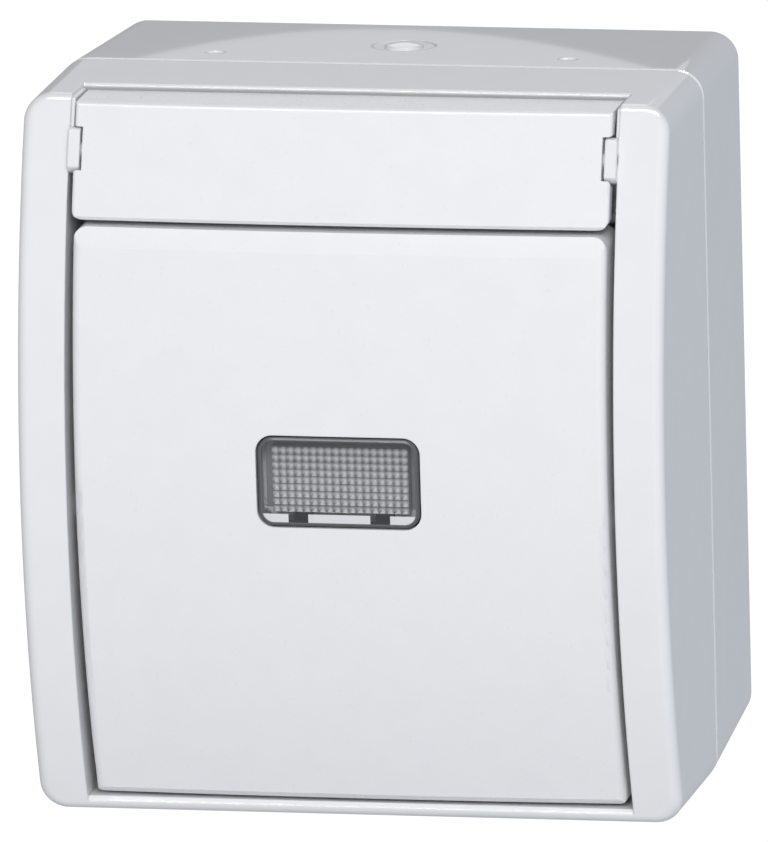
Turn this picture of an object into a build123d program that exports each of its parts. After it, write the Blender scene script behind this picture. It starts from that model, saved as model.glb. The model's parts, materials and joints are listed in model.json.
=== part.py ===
from build123d import *
from math import asin, atan, degrees, hypot, radians, sqrt
import os

# Surface mounted pushbutton switch with a rocker, an indicator lens and a label flap.
# Sizes are in millimetres. Each piece is drawn lying on its back: x to the right, y up the
# wall, z out of the wall. stand_up then turns it so that +Z is up and the front faces -Y.

# Housing
width = 75.0
height = 83.5
depth = 55.0
seam_depth = 27.0
base_inset = 1.2
corner_radius = 3.2
front_radius = 115.0
crest_y = -1.0
seam_chamfer = 0.5
front_edge_radius = 1.3
base_wall = 2.8
back_wall = 2.4
cover_wall = 2.2
inner_corner_radius = 1.2
overcut = 1.0

# Joint between base and cover
rim_lip = 1.2
gasket_depth = 1.6
gasket_gap = 0.1
tongue_x = 15.0
tongue_width = 10.0
tongue_thickness = 1.6
tongue_reach = 5.0
tongue_root = 4.0
tongue_gap = 0.45

# Wall holes and cable knock-outs
wall_hole_radius = 2.5
wall_hole_margin = 7.75
wall_hole_collar = 1.8
knockout_z = 14.0
knockout_radius = 7.6
knockout_groove = 0.8
knockout_skin = 1.0
dimple_radius = 3.7
dome_radius = 2.25
dimple_depth = 0.3
mark_x = 20.6
mark_z = 21.0
mark_radius = 1.1

# Front opening
cheek_width = 5.65
deck_rise = 6.0
deck_thickness = 2.2
lip_thickness = 1.6
lip_bevel = 0.7
flap_band = 13.75
partition_thickness = 1.0
partition_sink = 13.0
cheek_inner_wall = 1.6
cheek_core_sink = 9.0
cheek_core_margin = 5.5

# Rocker
rocker_side_gap = 0.9
rocker_top_gap = 0.4
rocker_bottom_gap = 0.45
rocker_skin = 2.0
rocker_skirt = 1.6
rocker_depth = 10.5
rocker_edge_radius = 1.1
rocker_corner_radius = 1.6
rocker_foot_radius = 0.9
rocker_bevel_length = 2.2
rocker_bevel_drop = 0.7
rocker_heel_length = 0.7
rocker_heel_drop = 0.7
crown_rise = 0.6
rest_tilt = 1.6
rib_x = 20.0
rib_thickness = 1.2
trunnion_sink = 8.2
trunnion_radius = 1.6
trunnion_reach = 1.1
trunnion_end_gap = 0.3
running_gap = 0.07

# Lens
lens_width = 18.7
lens_height = 10.4
lens_corner = 1.8
lens_rise = 5.4
lens_thickness = 3.0
lens_gap = 0.2
lens_edge_bevel = 0.3
lens_plate = 1.3
lens_sink = 0.1
prism_width = 15.8
prism_height = 7.6
prism_columns = 18
prism_rows = 9
ledge_thickness = 1.2
ledge_side = 0.6
ledge_bottom = 1.7
lens_frame = 1.5
tab_x = 4.75
tab_width = 2.1
tab_thickness = 0.9
tab_length = 2.0
tab_gap = 0.1

# Label flap, which swings on the lugs of the cheeks
flap_side_gap = 0.7
flap_bottom_gap = 0.25
flap_top_drop = 0.65
flap_proud = 0.8
flap_skin = 1.8
flap_top_skin = 1.6
flap_rear_reach = 7.1
flap_edge_radius = 0.5
flap_edge_skim = 0.02
flap_edge_bevel = 0.4
flap_brow_radius = 0.7
flap_corner_radius = 1.3
flap_pivot_drop = 6.15
flap_pivot_sink = 6.8
flap_swing_gap = 0.55
flap_land_gap = 0.3
flap_land_bevel = 0.4
flap_pin_radius = 0.9
flap_pin_reach = 1.1
lug_radius = 2.65
lug_reach = 1.4
lug_gap = 0.3
flap_rib = 1.6
flap_rib_radius = 2.6
step_thickness = 0.4
step_drop = 0.5
card_side_gap = 1.7
card_bottom_gap = 0.8
card_height = 5.4
card_thickness = 0.35

# Switch block
insert_width = 42.0
insert_height = 46.0
insert_y = -1.0
insert_back = 7.0
insert_sink = 4.0
insert_wall = 2.0
insert_floor = 2.0
insert_corner = 2.0
plate_thickness = 2.4
tower_size = 26.0
tower_sink = 1.0
tower_wall = 2.0
tower_corner = 3.0
seal_width = 2.0
seal_gap = 0.05
ear_width = 7.0
ear_thickness = 2.4

# Plunger and contacts
plunger_rise = 16.2
plunger_radius = 2.8
plunger_proud = 3.8
plunger_gap = 0.06
collar_radius = 4.5
collar_thickness = 1.4
collar_gap = 0.2
finger_width = 6.0
finger_thickness = 5.0
finger_gap = 0.15
press_angle = 4.0
bridge_rise = 8.0
bridge_length = 20.0
bridge_width = 5.0
strip_thickness = 0.8
stub_radius = 1.3
stub_length = 1.4
rivet_x = 8.0
rivet_radius = 1.5
rivet_thickness = 0.6
contact_play = 0.1
spring_radius = 2.3
spring_wire = 0.35
spring_turns = 3.0
wire_sides = 4

# Terminals
terminal_x = 15.0
terminal_width = 7.0
terminal_height = 8.0
terminal_sink = 5.0
terminal_neutral_y = -17.5
wire_hole_radius = 1.5
wire_hole_rise = 3.0

# Screws
shank_radius = 1.45
shank_gap = 0.05
head_radius = 2.8
head_height = 2.0
slot_width = 0.8
slot_depth = 0.9
head_gap = 0.3
post_radius = 3.6
cover_screw_inset = 7.35
cover_screw_drop = 8.25
cover_screw_grip = 12.0
insert_screw_grip = 5.0
terminal_shank = 4.6

# Lamp
lamp_radius = 3.0
lamp_sink = 5.2
lamp_length = 12.0
lamp_tip = 1.8
holder_radius = 4.0
holder_flange = 5.0
holder_flange_thickness = 1.0
holder_floor = 1.0
lamp_gap = 0.1
lead_radius = 0.35
lead_x = 1.2
lead_drop = 1.5
lead_bend = 1.6
lead_inset = 0.8

# Values that follow from the sizes above
half_width = width / 2
half_height = height / 2
base_slope = base_inset / seam_depth
wall_hole_spacing = height - 2 * wall_hole_margin
opening_half = half_width - cheek_width
deck_back = seam_depth + deck_rise
deck_front = deck_back + deck_thickness
lip_top = -half_height + lip_thickness
lip_front = depth - front_radius + sqrt(front_radius**2 - (lip_top - crest_y) ** 2)
partition_y = half_height - flap_band
partition_front = depth - partition_sink
cheek_core_front = depth - cheek_core_sink
rocker_half = opening_half - rocker_side_gap
rocker_top = partition_y - rocker_top_gap
rocker_bottom = lip_top + rocker_bottom_gap
rocker_back = depth - rocker_depth
crown_radius = (rocker_half**2 + crown_rise**2) / (2 * crown_rise)
trunnion_y = (rocker_top + rocker_bottom) / 2
trunnion_z = depth - trunnion_sink
lens_y = trunnion_y + lens_rise
lens_back = depth + crown_rise - lens_sink - lens_thickness
lens_front = lens_back + lens_thickness
flap_half = opening_half - flap_side_gap
flap_bottom = partition_y + flap_bottom_gap
flap_top = half_height - flap_top_drop
flap_pivot_y = half_height - flap_pivot_drop
flap_pivot_z = depth - flap_pivot_sink
flap_rear = flap_pivot_z - flap_rear_reach
flap_pivot_cover = flap_top - flap_pivot_y
flap_swing = hypot(flap_rear_reach, flap_pivot_cover)
recess_radius = flap_swing + flap_swing_gap
recess_back = flap_pivot_z - recess_radius
recess_land = flap_pivot_z - sqrt((flap_swing + flap_land_gap) ** 2 - flap_pivot_cover**2)
screw_seat = recess_back - head_height - head_gap
cover_screw_x = opening_half - cover_screw_inset
cover_screw_y = half_height - cover_screw_drop
insert_front = seam_depth - insert_sink
insert_inside = insert_back + insert_floor
ear_x = (insert_width + ear_width) / 2
plate_front = insert_front + plate_thickness
plunger_y = trunnion_y + plunger_rise
tower_y = (plunger_y + lens_y) / 2
tower_front = deck_front - tower_sink
seal_size = tower_size + 2 * seal_width
plunger_front = tower_front + plunger_proud
plunger_travel = plunger_rise * radians(press_angle)
bridge_z = insert_inside + bridge_rise
moving_face = bridge_z - rivet_thickness
fixed_face = moving_face - plunger_travel - contact_play
strip_top = fixed_face - rivet_thickness
terminal_top = insert_front - terminal_sink
lamp_y = lens_y
lamp_back = tower_front - lamp_sink
holder_back = lamp_back - holder_floor
lead_z = insert_front - lead_drop


def block(x0, x1, y0, y1, z0, z1):
    middle = ((x0 + x1) / 2, (y0 + y1) / 2, (z0 + z1) / 2)
    return Pos(*middle) * Box(x1 - x0, y1 - y0, z1 - z0)


def rod(radius, x, y, z0, z1):
    return Pos(x, y, (z0 + z1) / 2) * Cylinder(radius, z1 - z0)


def cross_rod(radius, x0, x1, y, z):
    return Pos((x0 + x1) / 2, y, z) * Rot(0, 90, 0) * Cylinder(radius, x1 - x0)


def upright_rod(radius, x, z, y0, y1):
    return Pos(x, (y0 + y1) / 2, z) * Rot(90, 0, 0) * Cylinder(radius, y1 - y0)


def slab(size_x, size_y, radius, z0, z1, y=0.0):
    return Pos(0, y, z0) * extrude(RectangleRounded(size_x, size_y, radius), z1 - z0)


def mirrored(shape):
    return shape + mirror(shape, Plane.YZ)


def is_steep(edge):
    return abs((edge % 0.5).Z) > 0.9


def steep_edges(shape):
    return shape.edges().filter_by(is_steep)


def front_face(shape):
    return shape.faces().sort_by(Axis.Z)[-1]


def back_face(shape):
    return shape.faces().sort_by(Axis.Z)[0]


def trapezoid(half, z0):
    # cross section of the base: full size at the seam, smaller at z0
    foot = half - base_slope * (seam_depth - z0)
    corners = [(-half, seam_depth), (half, seam_depth), (foot, z0), (-foot, z0)]
    return make_face(Polyline(*corners, close=True))


def tapered(inset, z0, radius):
    # a block with the slope of the base, from the seam down to z0
    across = extrude(Plane.XZ * trapezoid(half_width - inset, z0), height, both=True)
    upright = extrude(Plane.YZ * trapezoid(half_height - inset, z0), width, both=True)
    return fillet(steep_edges(across & upright), radius)


def wall_y(z):
    # height of the outer face of the base's top wall at depth z
    return half_height - base_slope * (seam_depth - z)


def knockout(x, z, radius):
    # ring groove on the inside that leaves a thin skin to break out
    top = wall_y(z) - knockout_skin
    bottom = wall_y(z) - base_wall - overcut
    ring = upright_rod(radius, x, z, bottom, top)
    return ring - upright_rod(radius - knockout_groove, x, z, bottom, top)


def dimple():
    # shallow ring around a flat dome on the outside of the top wall
    bottom = wall_y(knockout_z) - dimple_depth
    top = half_height + overcut
    ring = upright_rod(dimple_radius, 0, knockout_z, bottom, top)
    return ring - upright_rod(dome_radius, 0, knockout_z, bottom, top)


def mark():
    bottom = wall_y(mark_z) - dimple_depth
    return upright_rod(mark_radius, mark_x, mark_z, bottom, half_height + overcut)


def cable_entries():
    entry = knockout(0, knockout_z, knockout_radius)
    return entry + mirror(entry, Plane.XZ) + dimple() + mirrored(mark())


def base_box():
    body = tapered(0, 0, corner_radius)
    body = chamfer(front_face(body).edges(), seam_chamfer)
    body -= tapered(base_wall, back_wall, inner_corner_radius)
    groove_x = width - 2 * rim_lip
    groove_y = height - 2 * rim_lip
    groove_radius = corner_radius - rim_lip
    body -= slab(groove_x, groove_y, groove_radius, seam_depth - gasket_depth, seam_depth + overcut)
    body -= cable_entries()
    posts = rod(post_radius, cover_screw_x, cover_screw_y, back_wall / 2, seam_depth)
    posts += rod(post_radius, ear_x, insert_y, back_wall / 2, insert_back)
    pilot = shank_radius + shank_gap
    posts -= rod(pilot, cover_screw_x, cover_screw_y, back_wall, seam_depth + overcut)
    posts -= rod(pilot, ear_x, insert_y, back_wall, insert_back + overcut)
    body += mirrored(posts)
    for y in (-wall_hole_spacing / 2, wall_hole_spacing / 2):
        body += rod(2 * wall_hole_radius, 0, y, back_wall / 2, back_wall + wall_hole_collar)
        body -= rod(wall_hole_radius, 0, y, -overcut, back_wall + wall_hole_collar + overcut)
    return body


def seam_gasket():
    outer = rim_lip + gasket_gap
    ring_radius = corner_radius - outer
    z0 = seam_depth - gasket_depth
    ring = slab(width - 2 * outer, height - 2 * outer, ring_radius, z0, seam_depth)
    hole_x = width - 2 * base_wall
    hole_y = height - 2 * base_wall
    return ring - slab(hole_x, hole_y, inner_corner_radius, z0, seam_depth)


def cover_blank():
    # the outer form: a rounded block under the large front curve
    body = slab(width, height, corner_radius, seam_depth, depth + overcut)
    body &= cross_rod(front_radius, -width, width, crest_y, depth - front_radius)
    body = fillet(front_face(body).edges(), front_edge_radius)
    return chamfer(back_face(body).edges(), seam_chamfer)


def flap_recess():
    # room for the flap to swing: its back wall is round about the flap's pins
    front = depth + overcut
    top = half_height + overcut
    room = cross_rod(recess_radius, -opening_half, opening_half, flap_pivot_y, flap_pivot_z)
    room += block(-opening_half, opening_half, partition_y, flap_pivot_y, recess_back, front)
    room += block(-opening_half, opening_half, flap_pivot_y, top, flap_pivot_z, front)
    room += block(-opening_half, opening_half, flap_top, top, recess_land, front)
    return room & block(-opening_half, opening_half, partition_y, top, recess_back, front)


def front_bevel(y, z, leg):
    # takes the upper front edge at y, z off at 45 degrees, across the opening
    near = leg + overcut
    corners = [(y + overcut, z - near), (y + overcut, z + overcut), (y - near, z + overcut)]
    face = Plane.YZ * make_face(Polyline(*corners, close=True))
    return extrude(face, opening_half, both=True)


def rocker_well():
    front = depth + overcut
    under_partition = partition_y - partition_thickness
    room = block(-opening_half, opening_half, lip_top, under_partition, deck_front, front)
    return room + block(-opening_half, opening_half, lip_top, partition_y, partition_front, front)


def cover_room():
    # hollow behind the deck and inside the cheeks, with the screw posts left standing
    room_x = width - 2 * cover_wall
    room_y = height - 2 * cover_wall
    room = slab(room_x, room_y, inner_corner_radius, seam_depth - overcut, deck_back)
    core_y = half_height - cheek_core_margin
    core_x0 = opening_half + cheek_inner_wall
    core_x1 = half_width - cover_wall
    core = block(core_x0, core_x1, -core_y, core_y, deck_back, cheek_core_front)
    posts = rod(post_radius, cover_screw_x, cover_screw_y, seam_depth, deck_back)
    room += mirrored(core) - mirrored(posts)
    wall_back = recess_back - deck_thickness
    return room - block(-opening_half, opening_half, partition_y, half_height, wall_back, depth)


def cheek_lug():
    # bearing lug for the flap, cut flush with its front, and a shallow step in the gap above
    inner = opening_half - lug_reach
    inside_cheek = opening_half + cheek_inner_wall / 2
    lug = cross_rod(lug_radius, inner, opening_half, flap_pivot_y, flap_pivot_z)
    lug &= under_front(flap_proud)
    root = cross_rod(lug_radius, inner, inside_cheek, flap_pivot_y, flap_pivot_z)
    lug += root & under_front(-overcut)
    step_x = opening_half - step_thickness
    step_top = half_height - step_drop
    step = block(step_x, inside_cheek, flap_pivot_y, step_top, recess_land, depth)
    lug += step & under_front(-step_drop)
    return mirrored(lug)


def cover_bores():
    lug_inner = opening_half - lug_reach
    pin_end = lug_inner + flap_pin_reach + trunnion_end_gap
    pin_hole = flap_pin_radius + running_gap
    bores = cross_rod(pin_hole, lug_inner - overcut, pin_end, flap_pivot_y, flap_pivot_z)
    trunnion_end = opening_half + trunnion_reach + trunnion_end_gap
    hole = trunnion_radius + running_gap
    bores += cross_rod(hole, opening_half - overcut, trunnion_end, trunnion_y, trunnion_z)
    x = cover_screw_x
    y = cover_screw_y
    bores += rod(head_radius + head_gap, x, y, screw_seat, recess_back + overcut)
    bores += rod(shank_radius + shank_gap, x, y, seam_depth - overcut, screw_seat + overcut)
    return mirrored(bores)


def cover_tongue():
    # tongue that hooks behind the lower rim of the base
    y0 = -half_height + base_wall + tongue_gap
    x0 = tongue_x - tongue_width / 2
    x1 = tongue_x + tongue_width / 2
    z1 = seam_depth + tongue_root
    tongue = block(x0, x1, y0, y0 + tongue_thickness, seam_depth - tongue_reach, z1)
    root = -half_height + cover_wall / 2
    tongue += block(x0, x1, root, y0 + tongue_thickness, seam_depth + tongue_root / 4, z1)
    return mirrored(tongue)


def cover_frame():
    body = cover_blank() - cover_room() - rocker_well() - flap_recess()
    body -= front_bevel(half_height, recess_land, flap_land_bevel)
    body -= front_bevel(lip_top, lip_front, lip_bevel)
    body += cheek_lug()
    body += cover_tongue()
    body -= cover_bores()
    deck_hole = slab(seal_size, seal_size, tower_corner + seal_width, deck_back - overcut,
                     deck_front + overcut, tower_y)
    return body - deck_hole


def crown_z(y, lift):
    # depth of a crowned front on its centre line
    reach = front_radius + lift + crown_rise
    return depth - front_radius + sqrt(reach**2 - (y - crest_y) ** 2)


def crowned(half, lift, edge_radius):
    # a solid whose front keeps the cheeks' curve, lifted, and swells towards the middle
    crest = depth + lift
    arc = ThreePointArc((-half, crest), (0, crest + crown_rise), (half, crest))
    profile = make_face(arc + Polyline((half, crest), (half, 0), (-half, 0), (-half, crest)))
    if edge_radius > 0:
        profile = fillet(profile.vertices().sort_by(Axis.Y)[-2:], edge_radius)
    axis = Axis((0, crest_y, depth - front_radius), (1, 0, 0))
    turn = 2 * degrees(atan(height / front_radius))
    plane = Plane(origin=(0, crest_y, 0), x_dir=(1, 0, 0), z_dir=(0, -1, 0))
    return revolve(plane * profile, axis, turn).rotate(axis, -turn / 2)


def crown_cutter(face, y, lift):
    # carries a profile along the swell that the front has at height y
    lean = (y - crest_y) / (front_radius + lift + crown_rise)
    radius = crown_radius * sqrt(1 - lean**2)
    axis = Axis((0, 0, crown_z(y, lift) - radius), (0, 1, 0))
    turn = 2 * degrees(asin(half_width / radius))
    return revolve(Plane.YZ * face, axis, turn).rotate(axis, -turn / 2)


def edge_bevel(start_y, end_y, drop, lift):
    # takes a front edge off, from start_y to the edge at end_y
    start = Vector(start_y, crown_z(start_y, lift))
    end = Vector(end_y, crown_z(end_y, lift) - drop)
    reach = (end - start).normalized() * overcut
    before = start - reach
    beyond = end + reach
    above = depth + lift + crown_rise + 2 * overcut
    face = make_face(Polyline(before, beyond, (beyond.X, above), (before.X, above), close=True))
    return crown_cutter(face, start_y, lift)


def under_front(lift):
    # everything behind the plain front curve, for hollows and ribs
    return cross_rod(front_radius + lift, -half_width, half_width, crest_y, depth - front_radius)


def rocker_blank():
    body = block(-rocker_half, rocker_half, rocker_bottom, rocker_top, rocker_back, depth + overcut)
    body = fillet(steep_edges(body).sort_by(Axis.Y)[2:], rocker_corner_radius)
    body = fillet(steep_edges(body).sort_by(Axis.Y)[:2], rocker_foot_radius)
    body &= crowned(rocker_half, 0, rocker_edge_radius)
    body -= edge_bevel(rocker_top - rocker_bevel_length, rocker_top, rocker_bevel_drop, 0)
    return body - edge_bevel(rocker_bottom + rocker_heel_length, rocker_bottom, rocker_heel_drop, 0)


def lens_socket():
    # frame behind the skin that the lens drops into from the front
    size_x = lens_width + 2 * lens_gap + 2 * lens_frame
    size_y = lens_height + 2 * lens_gap + 2 * lens_frame
    front = lens_front - rocker_skin / 2
    return slab(size_x, size_y, lens_corner + lens_frame, lens_back - ledge_thickness, front, lens_y)


def lens_hole():
    size_x = lens_width + 2 * lens_gap
    size_y = lens_height + 2 * lens_gap
    pocket = slab(size_x, size_y, lens_corner + lens_gap, lens_back, depth + 4 * overcut, lens_y)
    floor = lens_y - size_y / 2
    y0 = floor + ledge_bottom
    y1 = floor + size_y - ledge_side
    x1 = size_x / 2 - ledge_side
    z0 = lens_back - ledge_thickness - overcut
    window = block(-x1, x1, y0, y1, z0, lens_back + overcut)
    notch_half = tab_width / 2 + tab_gap
    notch = block(tab_x - notch_half, tab_x + notch_half, floor, y0 + overcut, z0, lens_back + overcut)
    return pocket + window + mirrored(notch)


def finger():
    # post that reaches back to the plunger, with a round end
    tip = plunger_front + finger_gap + finger_thickness / 2
    half = finger_width / 2
    y0 = plunger_y - finger_thickness / 2
    y1 = plunger_y + finger_thickness / 2
    post = block(-half, half, y0, y1, tip, depth - rocker_skin / 2)
    return post + cross_rod(finger_thickness / 2, -half, half, plunger_y, tip)


def tilted(shape):
    # from flush with the cheeks to the rest position, top edge out
    return shape.rotate(Axis((0, trunnion_y, trunnion_z), (1, 0, 0)), rest_tilt)


def rocker():
    body = rocker_blank()
    bottom = rocker_bottom + rocker_skirt
    top = rocker_top - rocker_skirt
    half = rocker_half - rocker_skirt
    body -= block(-half, half, bottom, top, rocker_back - overcut, depth) & under_front(-rocker_skin)
    for x in (-rib_x, rib_x):
        rib = block(x - rib_thickness / 2, x + rib_thickness / 2, bottom, top, rocker_back, depth)
        body += rib & under_front(-rocker_skin / 2)
    body += lens_socket()
    body -= lens_hole()
    pin = cross_rod(trunnion_radius, half, opening_half + trunnion_reach, trunnion_y, trunnion_z)
    body += mirrored(pin)
    return tilted(body) + finger()


def saw_teeth(size, count, length, across):
    # a row of V ridges, drawn point down from z = 0
    pitch = size / count
    points = [(-size / 2, pitch)]
    for i in range(count):
        points.append((-size / 2 + i * pitch, 0))
        points.append((-size / 2 + (i + 0.5) * pitch, -pitch / 2))
    points.append((size / 2, 0))
    points.append((size / 2, pitch))
    face = make_face(Polyline(*points, close=True))
    plane = Plane.YZ if across else Plane.XZ
    return extrude(plane * face, length / 2, both=True)


def prism_field():
    across = saw_teeth(prism_height, prism_rows, prism_width, True)
    along = saw_teeth(prism_width, prism_columns, prism_height, False)
    return Pos(0, lens_y, lens_front - lens_plate) * (across & along)


def lens():
    body = slab(lens_width, lens_height, lens_corner, lens_back, lens_front, lens_y)
    body = chamfer(front_face(body).edges(), lens_edge_bevel)
    x1 = prism_width / 2
    y1 = prism_height / 2
    body -= block(-x1, x1, lens_y - y1, lens_y + y1, lens_back - overcut, lens_front - lens_plate)
    body += prism_field()
    y0 = lens_y - lens_height / 2
    x0 = tab_x - tab_width / 2
    tab = block(x0, x0 + tab_width, y0, y0 + tab_thickness, lens_back - tab_length, lens_back + overcut)
    return tilted(body + mirrored(tab))


def flap_blank():
    # front leaf and top leaf in one bent piece
    body = block(-flap_half, flap_half, flap_bottom, flap_top, flap_rear, depth)
    body = fillet(steep_edges(body).sort_by(Axis.Y)[:2], flap_corner_radius)
    body &= crowned(flap_half, flap_proud, 0)
    brow = body.edges().group_by(Axis.Y)[-1].sort_by(Axis.Z)[-1]
    body = fillet(brow, flap_brow_radius)
    body &= crowned(flap_half, flap_proud + flap_edge_skim, flap_edge_radius)
    body -= edge_bevel(flap_bottom + flap_edge_bevel, flap_bottom, flap_edge_bevel, flap_proud)
    inner_top = flap_top - flap_top_skin
    low = flap_bottom - overcut
    side = flap_half + overcut
    hollow = block(-side, side, low, inner_top, flap_rear - overcut, depth)
    return body - (hollow & under_front(flap_proud - flap_skin))


def label_flap():
    body = flap_blank()
    lug_inner = opening_half - lug_reach
    rib_x1 = lug_inner - lug_gap
    rib_x0 = rib_x1 - flap_rib
    rib = cross_rod(flap_rib_radius, rib_x0, rib_x1, flap_pivot_y, flap_pivot_z)
    y0 = flap_pivot_y - flap_rib_radius
    y1 = flap_pivot_y + flap_rib_radius
    rib += block(rib_x0, rib_x1, y0, y1, flap_pivot_z, depth)
    rib &= under_front(flap_proud - flap_skin / 2)
    pin_end = lug_inner + flap_pin_reach
    notch_radius = lug_radius + lug_gap
    notch = cross_rod(notch_radius, rib_x1, flap_half + overcut, flap_pivot_y, flap_pivot_z)
    body += mirrored(rib)
    body -= mirrored(notch)
    pin = cross_rod(flap_pin_radius, rib_x0, pin_end, flap_pivot_y, flap_pivot_z)
    return body + mirrored(pin)


def label_card():
    half = cover_screw_x - head_radius - card_side_gap
    y0 = partition_y + card_bottom_gap
    return block(-half, half, y0, y0 + card_height, recess_back, recess_back + card_thickness)


def insert_body():
    body = slab(insert_width, insert_height, insert_corner, insert_back, insert_front, insert_y)
    inner_x = insert_width - 2 * insert_wall
    inner_y = insert_height - 2 * insert_wall
    body -= slab(inner_x, inner_y, insert_corner / 2, insert_inside, insert_front + overcut, insert_y)
    ear_x1 = insert_width / 2 + ear_width
    y0 = insert_y - ear_width / 2
    ear = block(insert_width / 2 - insert_wall / 2, ear_x1, y0, y0 + ear_width,
                insert_back, insert_back + ear_thickness)
    ear -= rod(shank_radius + shank_gap, ear_x, insert_y, insert_back - overcut, insert_inside + overcut)
    pillar = block(rivet_x - rivet_radius, rivet_x + rivet_radius, plunger_y - bridge_width / 2,
                   plunger_y + bridge_width / 2, insert_inside - overcut, strip_top - strip_thickness)
    body += mirrored(ear + pillar)
    return body


def insert_plate():
    body = slab(insert_width, insert_height, insert_corner, insert_front, plate_front, insert_y)
    body += slab(tower_size, tower_size, tower_corner, insert_front, tower_front, tower_y)
    room = tower_size - 2 * tower_wall
    room_corner = tower_corner - tower_wall
    body -= slab(room, room, room_corner, insert_front - overcut, tower_front - tower_wall, tower_y)
    guide = plunger_radius + plunger_gap
    body -= rod(guide, 0, plunger_y, tower_front - tower_wall - overcut, tower_front + overcut)
    body -= rod(holder_radius, 0, lamp_y, tower_front - tower_wall - overcut, tower_front + overcut)
    access = head_radius + head_gap
    z0 = insert_front - overcut
    body -= mirrored(rod(access, terminal_x, plunger_y, z0, plate_front + overcut))
    return body - rod(access, 0, terminal_neutral_y, z0, plate_front + overcut)


def insert_seal():
    outer = seal_size - 2 * seal_gap
    inner = tower_size + 2 * seal_gap
    corner = tower_corner + seal_width - seal_gap
    ring = slab(outer, outer, corner, deck_back, deck_front, tower_y)
    hole = slab(inner, inner, tower_corner + seal_gap, deck_back, deck_front, tower_y)
    return ring - hole


def slotted_screw(x, y, seat, shank_length):
    # plain pan head screw, its head on the side away from the wall
    screw = rod(head_radius, x, y, seat, seat + head_height)
    screw += rod(shank_radius, x, y, seat - shank_length, seat)
    half = slot_width / 2
    top = seat + head_height
    x0 = x - head_radius
    return screw - block(x0, x + head_radius, y - half, y + half, top - slot_depth, top + overcut)


def cover_screws():
    length = screw_seat - seam_depth + cover_screw_grip
    return mirrored(slotted_screw(cover_screw_x, cover_screw_y, screw_seat, length))


def insert_screws():
    length = ear_thickness + insert_screw_grip - shank_gap
    return mirrored(slotted_screw(ear_x, insert_y, insert_back + ear_thickness, length - back_wall / 2))


def terminal_screws():
    screws = mirrored(slotted_screw(terminal_x, plunger_y, terminal_top, terminal_shank))
    return screws + slotted_screw(0, terminal_neutral_y, terminal_top, terminal_shank)


def terminal(x, y):
    half_x = terminal_width / 2
    half_y = terminal_height / 2
    body = block(x - half_x, x + half_x, y - half_y, y + half_y, insert_inside, terminal_top)
    z = insert_inside + wire_hole_rise
    body -= upright_rod(wire_hole_radius, x, z, y - terminal_height, y + terminal_height)
    return body - rod(shank_radius + shank_gap, x, y, z, terminal_top + overcut)


def plunger():
    collar_front = tower_front - tower_wall - collar_gap
    bridge_top = bridge_z + strip_thickness
    body = rod(plunger_radius, 0, plunger_y, bridge_top, plunger_front)
    body += rod(collar_radius, 0, plunger_y, collar_front - collar_thickness, collar_front)
    return body + rod(stub_radius, 0, plunger_y, bridge_z - stub_length, bridge_top)


def contact_bridge():
    half_x = bridge_length / 2
    half_y = bridge_width / 2
    z1 = bridge_z + strip_thickness
    body = block(-half_x, half_x, plunger_y - half_y, plunger_y + half_y, bridge_z, z1)
    return body - rod(stub_radius + shank_gap, 0, plunger_y, bridge_z - overcut, z1 + overcut)


def moving_rivets():
    return mirrored(rod(rivet_radius, rivet_x, plunger_y, moving_face, bridge_z))


def fixed_rivets():
    return mirrored(rod(rivet_radius, rivet_x, plunger_y, strip_top, fixed_face))


def fixed_contact():
    x0 = rivet_x - rivet_radius
    x1 = terminal_x - terminal_width / 2
    half = bridge_width / 2
    return block(x0, x1, plunger_y - half, plunger_y + half, strip_top - strip_thickness, strip_top)


def return_spring():
    z0 = insert_inside + spring_wire
    length = bridge_z - insert_inside - 2 * spring_wire
    path = Helix(length / spring_turns, length, spring_radius)
    start = Plane(origin=path @ 0, z_dir=path % 0)
    coil = sweep(start * RegularPolygon(spring_wire, wire_sides), path, is_frenet=True)
    return Pos(0, plunger_y, z0) * coil


def lamp_holder():
    body = rod(holder_radius - lamp_gap, 0, lamp_y, holder_back, tower_front)
    body += rod(holder_flange, 0, lamp_y, tower_front, tower_front + holder_flange_thickness)
    end = tower_front + holder_flange_thickness + overcut
    body -= rod(lamp_radius + lamp_gap, 0, lamp_y, lamp_back, end)
    lead_hole = rod(lead_radius + lamp_gap, lead_x, lamp_y, holder_back - overcut, lamp_back + overcut)
    return body - mirrored(lead_hole)


def lamp_glass():
    body = rod(lamp_radius, 0, lamp_y, lamp_back, lamp_back + lamp_length)
    return chamfer(front_face(body).edges(), lamp_tip)


def lamp_lead(x, end_x, end_y):
    corners = [(x, lamp_y, lamp_back), (x, lamp_y, lead_z), (end_x, end_y, lead_z)]
    path = FilletPolyline(*corners, (end_x, end_y, terminal_top), radius=lead_bend)
    return sweep(Plane(origin=path @ 0, z_dir=path % 0) * RegularPolygon(lead_radius, wire_sides), path)


def lamp_leads():
    left_x = -terminal_x + terminal_width / 2 - lead_inset
    left_y = plunger_y - terminal_height / 2 + lead_inset
    neutral_x = terminal_width / 2 - lead_inset
    neutral_y = terminal_neutral_y + terminal_height / 2 - lead_inset
    return lamp_lead(-lead_x, left_x, left_y) + lamp_lead(lead_x, neutral_x, neutral_y)


def stand_up(shape):
    return shape.rotate(Axis.X, 90)


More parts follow.
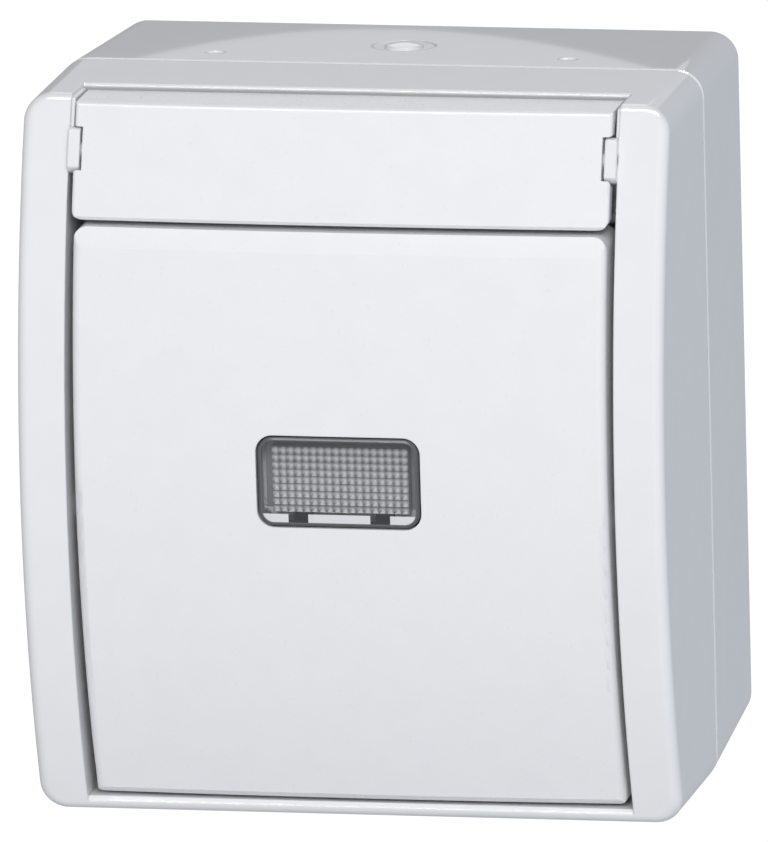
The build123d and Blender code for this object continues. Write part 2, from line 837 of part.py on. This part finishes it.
nodes = {
    "base_box": base_box(),
    "seam_gasket": seam_gasket(),
    "cover_frame": cover_frame(),
    "cover_screws": cover_screws(),
    "label_flap": label_flap(),
    "label_card": label_card(),
    "rocker": rocker(),
    "lens": lens(),
    "insert_body": insert_body(),
    "insert_plate": insert_plate(),
    "insert_screws": insert_screws(),
    "insert_seal": insert_seal(),
    "plunger": plunger(),
    "return_spring": return_spring(),
    "contact_bridge": contact_bridge(),
    "moving_rivets": moving_rivets(),
    "fixed_contact_left": mirror(fixed_contact(), Plane.YZ),
    "fixed_contact_right": fixed_contact(),
    "fixed_rivets": fixed_rivets(),
    "terminal_left": terminal(-terminal_x, plunger_y),
    "terminal_right": terminal(terminal_x, plunger_y),
    "terminal_neutral": terminal(0, terminal_neutral_y),
    "terminal_screws": terminal_screws(),
    "lamp_holder": lamp_holder(),
    "lamp_glass": lamp_glass(),
    "lamp_leads": lamp_leads(),
}

os.makedirs("parts", exist_ok=True)
for name, shape in nodes.items():
    export_step(stand_up(shape), f"parts/{name}.step")
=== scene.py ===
import json
import math

import bpy
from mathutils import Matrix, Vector


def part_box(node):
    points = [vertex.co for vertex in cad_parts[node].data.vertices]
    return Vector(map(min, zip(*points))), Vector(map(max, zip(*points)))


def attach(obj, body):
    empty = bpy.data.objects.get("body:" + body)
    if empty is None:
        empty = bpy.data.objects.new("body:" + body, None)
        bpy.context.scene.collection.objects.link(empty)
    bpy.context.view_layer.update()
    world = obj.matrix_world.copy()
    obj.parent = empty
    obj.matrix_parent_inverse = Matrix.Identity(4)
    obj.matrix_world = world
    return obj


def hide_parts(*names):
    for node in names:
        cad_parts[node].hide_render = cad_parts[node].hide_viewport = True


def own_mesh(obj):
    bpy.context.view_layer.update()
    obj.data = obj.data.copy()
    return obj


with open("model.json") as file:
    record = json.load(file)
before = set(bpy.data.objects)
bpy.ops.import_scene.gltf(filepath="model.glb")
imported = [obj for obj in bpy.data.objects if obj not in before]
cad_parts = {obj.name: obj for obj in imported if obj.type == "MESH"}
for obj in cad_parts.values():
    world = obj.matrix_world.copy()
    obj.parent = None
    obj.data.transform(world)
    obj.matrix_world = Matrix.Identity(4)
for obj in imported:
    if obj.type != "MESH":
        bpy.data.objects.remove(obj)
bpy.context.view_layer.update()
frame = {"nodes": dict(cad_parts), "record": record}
nodes = frame["nodes"]
scene = bpy.context.scene

# Lengths and places are in metres, in the frame's axes: +X to the right, -Y to the front
# and +Z up. Light powers are in watts and camera angles in degrees.

# Camera: a long lens to the right of the switch and above it
CAMERA_PLACE = (0.61026, -2.89017, 0.65778)
CAMERA_TURN = (77.3316, 1.3244, 11.7463)
CAMERA_LENS_MM = 1119.0
CAMERA_SENSOR_MM = 36.0
CAMERA_NEAR = 0.1
CAMERA_FAR = 20.0

# World: white where it is seen. As a source of light it is dimmer, changes along each axis
# and turns a little blue from left to right.
WHITE = (1.0, 1.0, 1.0)
WORLD_SEEN = 1.05
WORLD_MIDDLE = 0.50
WORLD_SLOPE = (0.10, -0.05, -0.22)
WORLD_LEFT = (0.97, 0.98, 1.0)
WORLD_RIGHT = (0.83, 0.90, 1.0)

# Key: a large soft box in front, kept out of the reflections
KEY_PLACE = (0.28, -1.36, 0.8)
KEY_AIM = (0.0, -0.04, 0.0)
KEY_SIZE = (1.0, 0.8)
KEY_POWER = 15.2
KEY_COLOUR = (1.0, 0.985, 0.975)

# Strip: a long soft box overhead, which lights the edges
STRIP_PLACE = (0.15, -0.25, 1.04)
STRIP_AIM = (0.0, -0.03, 0.04)
STRIP_SIZE = (1.3, 0.3)
STRIP_POWER = 15.0

# Disc: a round soft box behind, whose rim is the arc on the top of the base
DISC_PLACE = (-0.0292, 0.12, 0.1787)
DISC_AIM = (-0.0292, 0.0, 0.1787)
DISC_RADIUS = 0.123
DISC_RADIANCE = 0.37
DISC_COLOUR = (0.94, 0.97, 1.0)

# Glint: a tall soft box behind and higher up, which shows on the dome in the dimple
GLINT_PLACE = (-0.062, 0.27, 0.347)
GLINT_AIM = (0.0, -0.014, 0.347)
GLINT_SIZE = (0.14, 0.427)
GLINT_RADIANCE = 1.1

# Floor: far enough below the switch that the camera is above it in every view
FLOOR_HALF = 3.4
FLOOR_Z = -4.8

# Dome on the flat in the dimple of the base
DOME_Y = -0.014
DOME_RADIUS = 0.0022
DOME_RISE = 0.0004
DOME_RIM = 0.00002
DOME_ROOT = 0.00015
DOME_RINGS = 8
DOME_SIDES = 48
WALL_TOLERANCE = 1e-6

# All finishes: the middle part of the noise that is spread out, how much finer the second
# noise is, and by how much of itself the roughness swings
NOISE_LOW = 0.3
NOISE_HIGH = 0.7
FINER = 9.0
PLASTIC_SWING = 0.15
METAL_SWING = 0.3
GLASS_SWING = 0.5
PLASTIC_IOR = 1.48
CLEAR_IOR = 1.49
EDGE_SAMPLES = 6

# Lens: the prism field, the corners and the tabs as the solids have them
FIELD_WIDTH = 0.0158
FIELD_HEIGHT = 0.0076
FIELD_COLUMNS = 18
FIELD_ROWS = 9
FIELD_DEPTH = 0.0008
LENS_CORNER = 0.0018
LENS_RIM = 0.00045
TAB_PLACE = 0.00475
TAB_WIDTH = 0.0023

# Lens: its colours, which paint light and shade on the prisms, the foot and the tabs, how much
# it covers what is behind, and its roughness
# the prism field is painted: painted shade between the prisms, painted light on them
PRISM_PAINTED_SHADE = (0.1, 0.1, 0.105)
PRISM_PAINTED_LIGHT = (0.57, 0.57, 0.58)
PRISM_PAINTED_LIGHT_FROM = 0.9
CLEAR_DARK = (0.5, 0.5, 0.51)
CLEAR_LIGHT = (0.6, 0.6, 0.61)
CLEAR_GRAIN = 700.0
CLEAR_RELIEF = 1e-6
BORDER_COLOUR = (0.32, 0.32, 0.33)
# painted light: the foot is painted white for the lit white ledge seen through it
FOOT_PAINTED_LIGHT = (0.93, 0.93, 0.94)
# painted shade: the tabs are painted dark for the shade in their deep pockets
TAB_PAINTED_SHADE = (0.05, 0.05, 0.055)
RIM_COLOUR = (0.125, 0.125, 0.13)
CLEAR_ALPHA = 0.1
FOOT_COVER = 0.75
CLEAR_ROUGH = 0.04
FROSTED_ROUGH = 0.35


def new_material(name):
    material = bpy.data.materials.new(name)
    material.use_nodes = True
    tree = material.node_tree
    return material, tree, tree.nodes["Principled BSDF"]


def add(tree, kind, **values):
    node = tree.nodes.new(kind)
    for key, value in values.items():
        if key in node.inputs:
            node.inputs[key].default_value = value
        else:
            setattr(node, key, value)
    return node


def math_node(tree, operation, first, second=0.0):
    node = add(tree, "ShaderNodeMath", operation=operation)
    for socket, value in zip(node.inputs, (first, second)):
        if isinstance(value, (int, float)):
            socket.default_value = value
        else:
            tree.links.new(value, socket)
    return node.outputs["Value"]


def axes(tree, space):
    place = tree.nodes.new("ShaderNodeTexCoord")
    split = tree.nodes.new("ShaderNodeSeparateXYZ")
    tree.links.new(place.outputs[space], split.inputs["Vector"])
    return split.outputs["X"], split.outputs["Y"], split.outputs["Z"]


def grain(tree, scale, detail=3.0, stretch=(1.0, 1.0, 1.0)):
    # noise in the object's own space, drawn together along an axis by stretch
    place = tree.nodes.new("ShaderNodeTexCoord")
    mapping = add(tree, "ShaderNodeMapping", Scale=stretch)
    noise = add(tree, "ShaderNodeTexNoise", Scale=scale, Detail=detail)
    tree.links.new(place.outputs["Object"], mapping.inputs["Vector"])
    tree.links.new(mapping.outputs["Vector"], noise.inputs["Vector"])
    return noise.outputs["Fac"]


def spread(tree, source, low, high, start=NOISE_LOW, end=NOISE_HIGH):
    node = tree.nodes.new("ShaderNodeMapRange")
    node.inputs["From Min"].default_value = start
    node.inputs["From Max"].default_value = end
    node.inputs["To Min"].default_value = low
    node.inputs["To Max"].default_value = high
    tree.links.new(source, node.inputs["Value"])
    return node.outputs["Result"]


def uneven(tree, source, middle, swing):
    return spread(tree, source, middle * (1.0 - swing), middle * (1.0 + swing))


def tint(tree, source, dark, light, start=NOISE_LOW, end=NOISE_HIGH):
    ramp = tree.nodes.new("ShaderNodeValToRGB")
    ramp.color_ramp.elements[0].position = start
    ramp.color_ramp.elements[0].color = (*dark, 1.0)
    ramp.color_ramp.elements[1].position = end
    ramp.color_ramp.elements[1].color = (*light, 1.0)
    tree.links.new(source, ramp.inputs["Fac"])
    return ramp.outputs["Color"]


def blend_colour(tree, mask, first, second):
    # a mix node keeps its colour sockets at these places, beside those of its other types
    node = add(tree, "ShaderNodeMix", data_type="RGBA")
    tree.links.new(mask, node.inputs["Factor"])
    for socket, value in zip((node.inputs[6], node.inputs[7]), (first, second)):
        if isinstance(value, tuple):
            socket.default_value = (*value, 1.0)
        else:
            tree.links.new(value, socket)
    return node.outputs[2]


def relief(tree, shader, source, height, edge=0.0):
    bump = add(tree, "ShaderNodeBump", Strength=1.0, Distance=height)
    tree.links.new(source, bump.inputs["Height"])
    if edge > 0.0:
        soft = add(tree, "ShaderNodeBevel", Radius=edge, samples=EDGE_SAMPLES)
        tree.links.new(soft.outputs["Normal"], bump.inputs["Normal"])
    tree.links.new(bump.outputs["Normal"], shader.inputs["Normal"])


def plastic(name, dark, light, rough, scale, height, edge=0.0):
    material, tree, shader = new_material(name)
    cloud = grain(tree, scale)
    fine = grain(tree, scale * FINER, 2.0)
    tree.links.new(tint(tree, cloud, dark, light), shader.inputs["Base Color"])
    tree.links.new(uneven(tree, fine, rough, PLASTIC_SWING), shader.inputs["Roughness"])
    shader.inputs["IOR"].default_value = PLASTIC_IOR
    relief(tree, shader, fine, height, edge)
    return material


def metal(name, dark, light, rough, scale, stretch, height):
    material, tree, shader = new_material(name)
    streak = grain(tree, scale, 4.0, stretch)
    tree.links.new(tint(tree, streak, dark, light), shader.inputs["Base Color"])
    tree.links.new(uneven(tree, streak, rough, METAL_SWING), shader.inputs["Roughness"])
    shader.inputs["Metallic"].default_value = 1.0
    relief(tree, shader, streak, height)
    return material


def glass(name, dark, light, rough, scale, height):
    material, tree, shader = new_material(name)
    cloud = grain(tree, scale)
    tree.links.new(tint(tree, cloud, dark, light), shader.inputs["Base Color"])
    tree.links.new(uneven(tree, cloud, rough, GLASS_SWING), shader.inputs["Roughness"])
    shader.inputs["Transmission Weight"].default_value = 1.0
    shader.inputs["IOR"].default_value = CLEAR_IOR
    relief(tree, shader, cloud, height)
    return material


def rounded_edge(calc, x, up, half_width, half_height, radius):
    # distance outside a rounded rectangle, below zero inside it
    over_x = calc("SUBTRACT", calc("ABSOLUTE", x), half_width - radius)
    over_z = calc("SUBTRACT", calc("ABSOLUTE", up), half_height - radius)
    square_x = calc("POWER", calc("MAXIMUM", over_x, 0.0), 2.0)
    square_z = calc("POWER", calc("MAXIMUM", over_z, 0.0), 2.0)
    corner = calc("SQRT", calc("ADD", square_x, square_z))
    side = calc("MINIMUM", calc("MAXIMUM", over_x, over_z), 0.0)
    return calc("SUBTRACT", calc("ADD", corner, side), radius)


def prism_cells(tree, calc, x, up):
    # from 0 between the prisms to 1 on them, which the lens turns into painted shade and
    # painted light
    turns_x = calc("MULTIPLY", x, 2.0 * math.pi * FIELD_COLUMNS / FIELD_WIDTH)
    turns_z = calc("MULTIPLY", up, 2.0 * math.pi * FIELD_ROWS / FIELD_HEIGHT)
    wave_x = calc("COSINE", calc("ADD", turns_x, math.pi))
    wave_z = calc("COSINE", turns_z)
    return spread(tree, calc("ADD", wave_x, wave_z), 0.0, 1.0, -2.0, 2.0)


def prism_lens(name):
    # clear plastic with a frosted field and border at its back, a dark rim, painted light and
    # shade on the prisms, a foot painted light for the lit white ledge behind it, and tabs
    # painted as shade
    material, tree, shader = new_material(name)

    def calc(operation, first, second=0.0):
        return math_node(tree, operation, first, second)

    low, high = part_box("lens")
    half_width = (high[0] - low[0]) / 2
    half_height = (high[2] - low[2]) / 2
    x, y, z = axes(tree, "Object")
    up = calc("SUBTRACT", z, (low[2] + high[2]) / 2)

    # masks, each 1 on its own part of the lens
    behind = calc("GREATER_THAN", y, low[1] + FIELD_DEPTH)
    in_width = calc("LESS_THAN", calc("ABSOLUTE", x), FIELD_WIDTH / 2)
    in_height = calc("LESS_THAN", calc("ABSOLUTE", up), FIELD_HEIGHT / 2)
    field = calc("MULTIPLY", calc("MULTIPLY", in_width, in_height), behind)
    above_foot = calc("GREATER_THAN", up, -FIELD_HEIGHT / 2)
    foot = calc("SUBTRACT", 1.0, above_foot)
    frosted = calc("MULTIPLY", behind, above_foot)
    edge = rounded_edge(calc, x, up, half_width, half_height, LENS_CORNER)
    rim = calc("GREATER_THAN", edge, -LENS_RIM)
    from_tab = calc("ABSOLUTE", calc("SUBTRACT", calc("ABSOLUTE", x), TAB_PLACE))
    tabs = calc("MULTIPLY", foot, calc("LESS_THAN", from_tab, TAB_WIDTH / 2))
    solid = calc("MAXIMUM", frosted, rim)
    cover = calc("MAXIMUM", solid, calc("MULTIPLY", foot, FOOT_COVER))

    cells = prism_cells(tree, calc, x, up)
    # painted shade between the prisms and painted light on them
    prism_light_and_shade = tint(tree, cells, PRISM_PAINTED_SHADE, PRISM_PAINTED_LIGHT, 0.0, PRISM_PAINTED_LIGHT_FROM)
    cloud = grain(tree, CLEAR_GRAIN)
    colour = tint(tree, cloud, CLEAR_DARK, CLEAR_LIGHT)
    colour = blend_colour(tree, frosted, colour, BORDER_COLOUR)
    colour = blend_colour(tree, field, colour, prism_light_and_shade)
    # painted light: the foot is white for the lit ledge behind it
    colour = blend_colour(tree, foot, colour, FOOT_PAINTED_LIGHT)
    # painted shade on the tabs, for their deep pockets
    colour = blend_colour(tree, tabs, colour, TAB_PAINTED_SHADE)
    colour = blend_colour(tree, rim, colour, RIM_COLOUR)
    rough = spread(tree, solid, CLEAR_ROUGH, FROSTED_ROUGH, 0.0, 1.0)
    alpha = spread(tree, cover, CLEAR_ALPHA, 1.0, 0.0, 1.0)
    tree.links.new(colour, shader.inputs["Base Color"])
    tree.links.new(rough, shader.inputs["Roughness"])
    tree.links.new(alpha, shader.inputs["Alpha"])
    shader.inputs["IOR"].default_value = CLEAR_IOR
    relief(tree, shader, cloud, CLEAR_RELIEF)
    return material


FINISHES = {
    "housing_white": plastic(
        "housing_white", dark=(0.853, 0.853, 0.863), light=(0.87, 0.87, 0.88),
        rough=0.03, scale=220.0, height=5e-8, edge=3.5e-4,
    ),
    "rocker_white": plastic(
        "rocker_white", dark=(0.863, 0.863, 0.873), light=(0.88, 0.88, 0.89),
        rough=0.32, scale=260.0, height=2e-7, edge=1.5e-4,
    ),
    "seal_rubber": plastic(
        "seal_rubber", dark=(0.02, 0.02, 0.022), light=(0.045, 0.045, 0.045),
        rough=0.65, scale=900.0, height=1e-5,
    ),
    "card_white": plastic(
        "card_white", dark=(0.82, 0.82, 0.79), light=(0.9, 0.9, 0.88),
        rough=0.8, scale=1500.0, height=5e-6,
    ),
    "insert_grey": plastic(
        "insert_grey", dark=(0.24, 0.25, 0.26), light=(0.31, 0.32, 0.33),
        rough=0.5, scale=400.0, height=6e-6,
    ),
    "plunger_white": plastic(
        "plunger_white", dark=(0.66, 0.66, 0.63), light=(0.76, 0.76, 0.73),
        rough=0.4, scale=400.0, height=4e-6,
    ),
    "screw_steel": metal(
        "screw_steel", dark=(0.5, 0.5, 0.51), light=(0.68, 0.68, 0.7),
        rough=0.28, scale=500.0, stretch=(1.0, 6.0, 1.0), height=3e-6,
    ),
    "spring_steel": metal(
        "spring_steel", dark=(0.34, 0.34, 0.36), light=(0.5, 0.5, 0.52),
        rough=0.3, scale=900.0, stretch=(1.0, 1.0, 4.0), height=3e-6,
    ),
    "contact_brass": metal(
        "contact_brass", dark=(0.55, 0.36, 0.13), light=(0.76, 0.55, 0.26),
        rough=0.3, scale=600.0, stretch=(5.0, 1.0, 1.0), height=3e-6,
    ),
    "contact_silver": metal(
        "contact_silver", dark=(0.68, 0.68, 0.67), light=(0.84, 0.84, 0.83),
        rough=0.2, scale=900.0, stretch=(1.0, 1.0, 1.0), height=2e-6,
    ),
    "lead_copper": metal(
        "lead_copper", dark=(0.55, 0.24, 0.13), light=(0.75, 0.38, 0.24),
        rough=0.3, scale=900.0, stretch=(1.0, 4.0, 1.0), height=3e-6,
    ),
    "lamp_glass": glass(
        "lamp_glass", dark=(0.9, 0.86, 0.8), light=(0.96, 0.93, 0.9),
        rough=0.03, scale=300.0, height=1e-6,
    ),
    "lens_clear": prism_lens("lens_clear"),
}


def paint_nodes():
    for row in frame["record"]["subparts"]:
        for place in nodes[row["node"]].material_slots:
            place.material = FINISHES[row["material_slot"]]


def add_mesh(name, corners, faces, material):
    mesh = bpy.data.meshes.new(name)
    mesh.from_pydata(corners, [], faces)
    mesh.materials.append(material)
    piece = bpy.data.objects.new(name, mesh)
    scene.collection.objects.link(piece)
    return piece


def build_spring():
    # a copy of the spring, held by the housing, stands for the stiff one
    spring = bpy.data.objects.new("soft_spring", nodes["return_spring"].data.copy())
    scene.collection.objects.link(spring)
    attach(spring, "housing")
    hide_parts("return_spring")
    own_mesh(spring)


def base_top():
    # the highest point of the base at the wall, and the rise of its tapered top along y
    points = [point.co for point in nodes["base_box"].data.vertices]
    at_wall = [point for point in points if point.y > -WALL_TOLERANCE]
    front = max(points, key=lambda point: point.z)
    back = max(at_wall, key=lambda point: point.z)
    return back, (front.z - back.z) / (front.y - back.y)


def build_dome():
    # closed cap, a little sunk in the flat that it stands on
    start, slope = base_top()
    radii = [DOME_RADIUS * ring / DOME_RINGS for ring in range(DOME_RINGS + 1)]
    heights = [DOME_RIM + DOME_RISE * (1.0 - (radius / DOME_RADIUS) ** 2) for radius in radii]
    corners = [(0.0, DOME_Y, start.z + slope * (DOME_Y - start.y) + heights[0])]
    for radius, height in zip(radii[1:] + [DOME_RADIUS], heights[1:] + [-DOME_ROOT]):
        for side in range(DOME_SIDES):
            angle = 2.0 * math.pi * side / DOME_SIDES
            y = DOME_Y + radius * math.sin(angle)
            z = start.z + slope * (y - start.y) + height
            corners.append((radius * math.cos(angle), y, z))
    faces = []
    for side in range(DOME_SIDES):
        after = (side + 1) % DOME_SIDES
        faces.append((0, 1 + side, 1 + after))
        for ring in range(DOME_RINGS):
            inner = 1 + ring * DOME_SIDES
            outer = inner + DOME_SIDES
            faces.append((inner + side, outer + side, outer + after, inner + after))
    root = 1 + DOME_RINGS * DOME_SIDES
    faces.append(tuple(root + side for side in reversed(range(DOME_SIDES))))
    dome = add_mesh("dimple_dome", corners, faces, FINISHES["housing_white"])
    for face in dome.data.polygons[:-1]:
        face.use_smooth = True
    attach(dome, "housing")


def build_floor():
    pale = plastic(
        "floor_pale", dark=(0.8, 0.8, 0.8), light=(0.84, 0.84, 0.84),
        rough=0.6, scale=3.0, height=1e-5,
    )
    signs = ((-1, -1), (1, -1), (1, 1), (-1, 1))
    corners = [(x * FLOOR_HALF, y * FLOOR_HALF, FLOOR_Z) for x, y in signs]
    floor = add_mesh("floor", corners, [(0, 1, 2, 3)], pale)


def build_light(name, place, aim, size, power, shape="RECTANGLE", colour=WHITE):
    data = bpy.data.lights.new(name, "AREA")
    data.shape = shape
    data.size, data.size_y = size
    data.energy = power
    data.color = colour
    light = bpy.data.objects.new(name, data)
    scene.collection.objects.link(light)
    light.location = place
    light.rotation_mode = "QUATERNION"
    light.rotation_quaternion = (Vector(aim) - Vector(place)).to_track_quat("-Z", "Y")
    light.visible_camera = False
    return light


def build_lights():
    key = build_light("key", KEY_PLACE, KEY_AIM, KEY_SIZE, KEY_POWER, colour=KEY_COLOUR)
    key.visible_glossy = False
    strip = build_light("strip", STRIP_PLACE, STRIP_AIM, STRIP_SIZE, STRIP_POWER)
    disc_size = (2 * DISC_RADIUS, 2 * DISC_RADIUS)
    disc_power = DISC_RADIANCE * math.pi * math.pi * DISC_RADIUS**2
    disc = build_light("disc", DISC_PLACE, DISC_AIM, disc_size, disc_power, "DISK", DISC_COLOUR)
    glint_power = GLINT_RADIANCE * math.pi * GLINT_SIZE[0] * GLINT_SIZE[1]
    glint = build_light("glint", GLINT_PLACE, GLINT_AIM, GLINT_SIZE, glint_power)
    # these show only as reflections
    for light in (strip, disc, glint):
        light.visible_diffuse = False


def build_world():
    world = bpy.data.worlds.new("studio")
    world.use_nodes = True
    scene.world = world
    tree = world.node_tree
    tree.nodes.clear()
    directions = axes(tree, "Generated")
    level = WORLD_MIDDLE
    for direction, slope in zip(directions, WORLD_SLOPE):
        level = math_node(tree, "ADD", math_node(tree, "MULTIPLY", direction, slope), level)
    rightness = spread(tree, directions[0], 0.0, 1.0, -1.0, 1.0)
    cool = tint(tree, rightness, WORLD_LEFT, WORLD_RIGHT, 0.0, 1.0)
    seen = add(tree, "ShaderNodeBackground", Color=(*WHITE, 1.0), Strength=WORLD_SEEN)
    lit = tree.nodes.new("ShaderNodeBackground")
    tree.links.new(cool, lit.inputs["Color"])
    tree.links.new(level, lit.inputs["Strength"])
    path = tree.nodes.new("ShaderNodeLightPath")
    mix = tree.nodes.new("ShaderNodeMixShader")
    out = tree.nodes.new("ShaderNodeOutputWorld")
    tree.links.new(path.outputs["Is Camera Ray"], mix.inputs["Fac"])
    tree.links.new(lit.outputs["Background"], mix.inputs[1])
    tree.links.new(seen.outputs["Background"], mix.inputs[2])
    tree.links.new(mix.outputs["Shader"], out.inputs["Surface"])


def build_camera():
    data = bpy.data.cameras.new("camera")
    data.lens = CAMERA_LENS_MM
    data.sensor_width = CAMERA_SENSOR_MM
    data.clip_start = CAMERA_NEAR
    data.clip_end = CAMERA_FAR
    camera = bpy.data.objects.new("camera", data)
    scene.collection.objects.link(camera)
    camera.location = CAMERA_PLACE
    camera.rotation_euler = [math.radians(angle) for angle in CAMERA_TURN]
    scene.camera = camera


paint_nodes()
build_spring()
build_dome()
build_floor()
build_world()
build_lights()
build_camera()
scene.view_settings.view_transform = "Standard"
scene.view_settings.look = "None"
